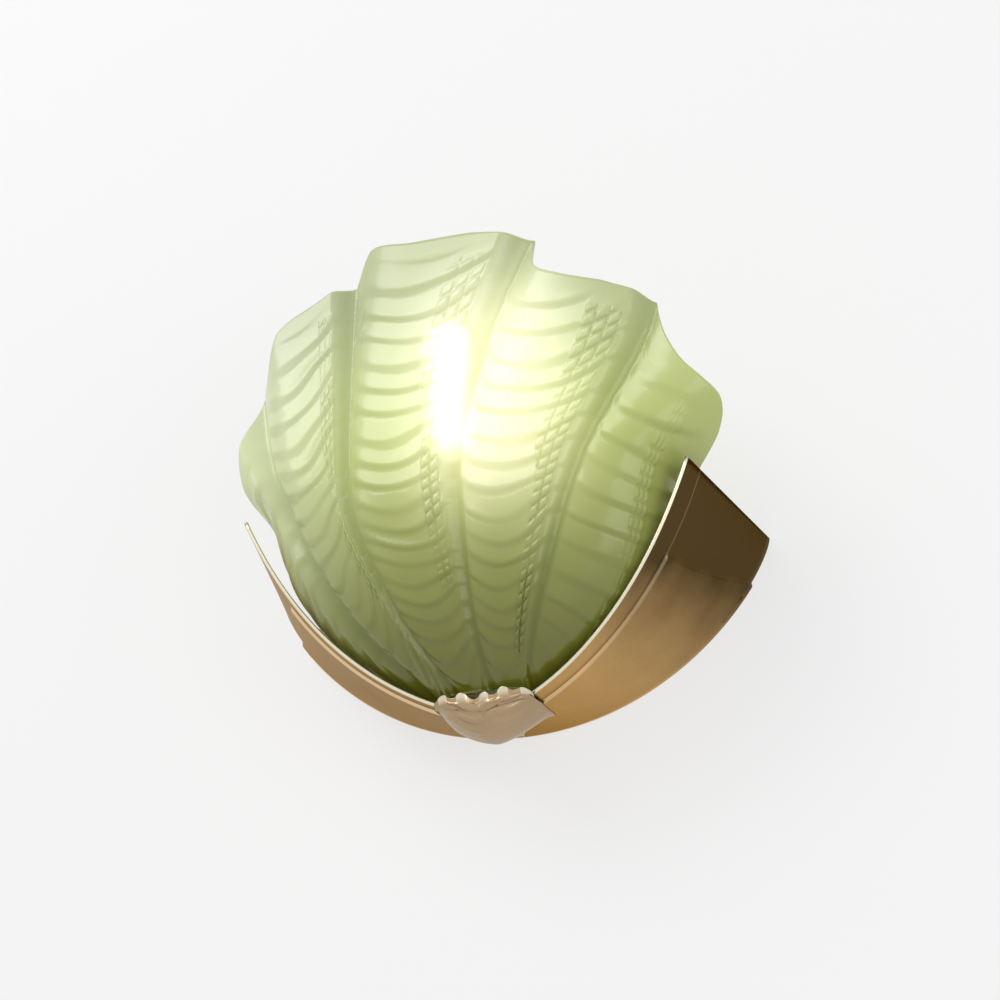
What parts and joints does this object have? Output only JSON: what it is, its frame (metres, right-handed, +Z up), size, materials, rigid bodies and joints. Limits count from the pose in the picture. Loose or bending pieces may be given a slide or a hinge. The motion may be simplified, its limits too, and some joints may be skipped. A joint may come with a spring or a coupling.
{
  "type": "wall sconce",
  "caption": "Wall uplight with a tall scalloped shell shade of pale green glass in a folded brass gallery, with a cast clasp below and a candle lamp inside.",
  "frame": {"origin": "on the wall, midway between the two wall screws, at the back face of the wall plate", "axes": "+Z up, -Y out from the wall into the room, +X to the viewer's right"},
  "size_m": [0.264, 0.1151, 0.2534],
  "materials": {
    "pressed_glass": "pressed, satin outside, greenish yellow",
    "brass_sheet": "satin gilt",
    "cast_brass": "cast, burnished on the ridges",
    "brass_turned": "turned",
    "plated_steel": "zinc plated",
    "black_rubber": "matt",
    "white_plastic": "semi-gloss",
    "white_ceramic": "glazed",
    "lamp_glass": "clear",
    "nickel": "nickel plated",
    "filament": "lit",
    "brown_sleeve": "insulated wire",
    "blue_sleeve": "insulated wire",
    "green_sleeve": "insulated wire",
    "felt": "pressed felt"
  },
  "bodies": {
    "fixture": {"wing_right": "brass_sheet", "wing_left": "brass_sheet", "motif": "cast_brass", "motif_screws": "brass_turned", "motif_nuts": "brass_turned", "back_plate": "plated_steel", "wing_screws": "brass_turned", "cable_grommet": "black_rubber", "lamp_bracket": "plated_steel", "bracket_screws": "brass_turned", "nipple": "brass_turned", "nipple_nut": "brass_turned", "lampholder_base": "white_plastic", "lampholder_skirt": "white_plastic", "lampholder_core": "white_ceramic", "lampholder_screw_shell": "brass_turned", "lampholder_contact": "brass_turned", "terminal_block": "white_plastic", "terminal_screws": "brass_turned", "wire_live": "brown_sleeve", "wire_neutral": "blue_sleeve", "wire_earth": "green_sleeve", "earth_screw": "brass_turned", "earth_tag": "nickel", "shade_pads": "felt"},
    "shade": {"shade": "pressed_glass"},
    "bulb": {"bulb_glass": "lamp_glass", "bulb_cap": "nickel", "bulb_tip": "nickel", "bulb_stem": "lamp_glass", "bulb_filament": "filament"}
  },
  "joints": [
    {"name": "shade_lift", "type": "slide", "parent": "fixture", "child": "shade", "axis": [0, 0, 1], "range_m": [0, 0.045]},
    {"name": "bulb_turn", "type": "hinge", "parent": "fixture", "child": "bulb", "pos_m": [0, -0.058, 0], "axis": [0, 0, 1], "range_deg": [0, 1800]}
  ]
}
